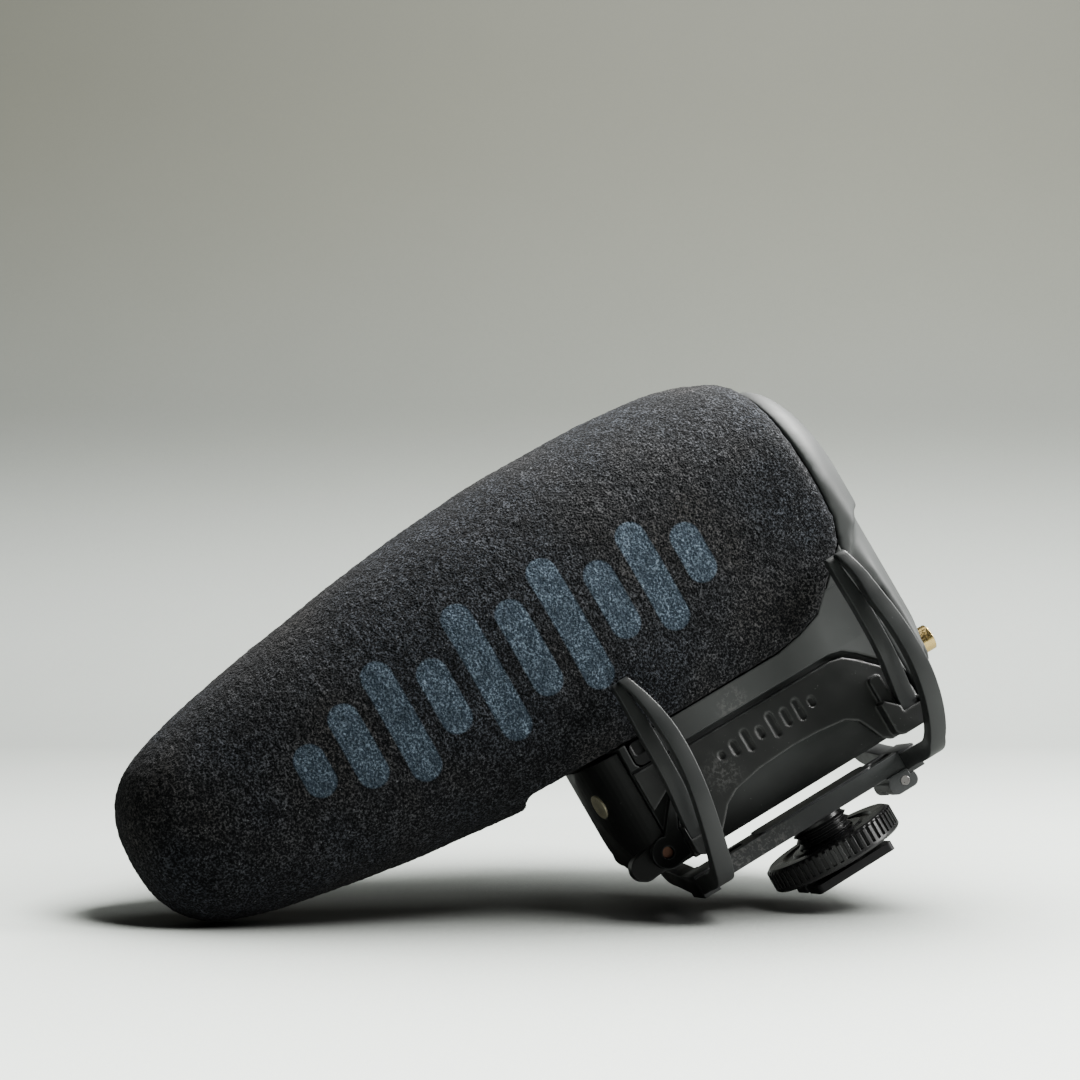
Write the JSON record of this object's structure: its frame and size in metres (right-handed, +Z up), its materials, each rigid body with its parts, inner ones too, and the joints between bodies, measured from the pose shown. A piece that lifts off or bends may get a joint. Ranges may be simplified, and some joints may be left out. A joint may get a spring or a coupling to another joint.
{
  "type": "on-camera shotgun microphone",
  "caption": "Compact shotgun microphone with foam windshield, battery body, hairpin-spring shock mount and camera shoe foot with lock wheel.",
  "frame": {"origin": "centre of the shoe foot's underside, on the stem's axis", "axes": "+Z up along the stem, +X from the foam nose towards the control panel, +Y to the microphone's right seen from behind the panel looking forward"},
  "size_m": [0.1681, 0.0668, 0.1092],
  "materials": {
    "black_metal": "satin",
    "bushing_steel": "machined",
    "black_gloss": "gloss",
    "rubber_black": "matte",
    "rail_plastic": "mottled satin",
    "spring_plastic": "satin",
    "pin_steel": "satin",
    "housing": "fine satin",
    "cheek_plastic": "fine grain",
    "panel_gloss": "gloss",
    "key_rubber": "soft matte",
    "lamp": "clear",
    "gilt": "polished",
    "board": "solder mask",
    "battery_case": "satin",
    "dot_gold": "satin",
    "capsule_metal": "satin",
    "tube_black": "matte",
    "foam": "open-cell foam"
  },
  "bodies": {
    "base": {"shoe_foot": "black_metal", "thread_bushing": "bushing_steel", "threaded_stem": "black_gloss", "mount_rail": "rail_plastic", "front_lyre": "spring_plastic", "rear_lyre": "spring_plastic", "cable_clip": "rail_plastic", "clip_pin": "pin_steel"},
    "washer": {"clamp_washer": "rubber_black"},
    "wheel": {"lock_wheel": "black_gloss"},
    "mic": {"body_shell": "housing", "rear_cap": "housing", "left_cradle": "cheek_plastic", "right_cradle": "cheek_plastic", "rear_panel": "panel_gloss", "status_lamps": "lamp", "output_jack": "gilt", "usb_socket": "pin_steel", "circuit_board": "board", "tact_switches": "pin_steel", "battery_pack": "battery_case", "battery_contacts": "gilt", "hinge_pin": "pin_steel", "capsule": "capsule_metal", "interference_tube": "tube_black", "tube_grille": "capsule_metal", "rubber_rings": "rubber_black"},
    "door": {"battery_door": "black_gloss", "front_dot": "dot_gold"},
    "power_key": {"power_button": "key_rubber"},
    "filter_key": {"filter_button": "key_rubber"},
    "pad_key": {"pad_button": "key_rubber"},
    "boost_key": {"boost_button": "key_rubber"},
    "safety_key": {"safety_button": "key_rubber"},
    "latch_l": {"left_latch": "black_gloss"},
    "latch_r": {"right_latch": "black_gloss"},
    "foam": {"foam_windshield": "foam"}
  },
  "joints": [
    {"name": "wheel_travel", "type": "slide", "parent": "base", "child": "washer", "axis": [0, 0, 1], "range_m": [-0.0004, 0.004]},
    {"name": "wheel_turn", "type": "hinge", "parent": "washer", "child": "wheel", "pos_m": [0, 0, 0.0057], "axis": [0, 0, 1], "range_deg": [-115.2, 1152]},
    {"name": "suspension", "type": "slide", "parent": "base", "child": "mic", "axis": [1, 0, 0], "range_m": [-0.003, 0.003], "stiffness_N_per_m": 700, "deforming": ["front_lyre", "rear_lyre"]},
    {"name": "door_hinge", "type": "hinge", "parent": "mic", "child": "door", "pos_m": [-0.0347, 0, 0.0249], "axis": [0, -1, 0], "range_deg": [0, 95]},
    {"name": "power_key_press", "type": "slide", "parent": "mic", "child": "power_key", "axis": [-1, 0, 0], "range_m": [0, 0.0005], "stiffness_N_per_m": 1500, "springref_m": -0.0004},
    {"name": "filter_key_press", "type": "slide", "parent": "mic", "child": "filter_key", "axis": [-1, 0, 0], "range_m": [0, 0.0005], "stiffness_N_per_m": 1500, "springref_m": -0.0004},
    {"name": "pad_key_press", "type": "slide", "parent": "mic", "child": "pad_key", "axis": [-1, 0, 0], "range_m": [0, 0.0005], "stiffness_N_per_m": 1500, "springref_m": -0.0004},
    {"name": "boost_key_press", "type": "slide", "parent": "mic", "child": "boost_key", "axis": [-1, 0, 0], "range_m": [0, 0.0005], "stiffness_N_per_m": 1500, "springref_m": -0.0004},
    {"name": "safety_key_press", "type": "slide", "parent": "mic", "child": "safety_key", "axis": [-1, 0, 0], "range_m": [0, 0.0005], "stiffness_N_per_m": 1500, "springref_m": -0.0004},
    {"name": "latch_l_press", "type": "slide", "parent": "mic", "child": "latch_l", "axis": [0, 1, 0], "range_m": [0, 0.001], "stiffness_N_per_m": 800, "springref_m": -0.0004},
    {"name": "latch_r_press", "type": "slide", "parent": "mic", "child": "latch_r", "axis": [0, -1, 0], "range_m": [0, 0.001], "stiffness_N_per_m": 800, "springref_m": -0.0004},
    {"name": "foam_pull", "type": "slide", "parent": "mic", "child": "foam", "axis": [-1, 0, 0], "range_m": [0, 0.15]}
  ],
  "couplings": [
    {"joint": "wheel_turn", "follows": "wheel_travel", "rad_per_m": 5026.5}
  ]
}
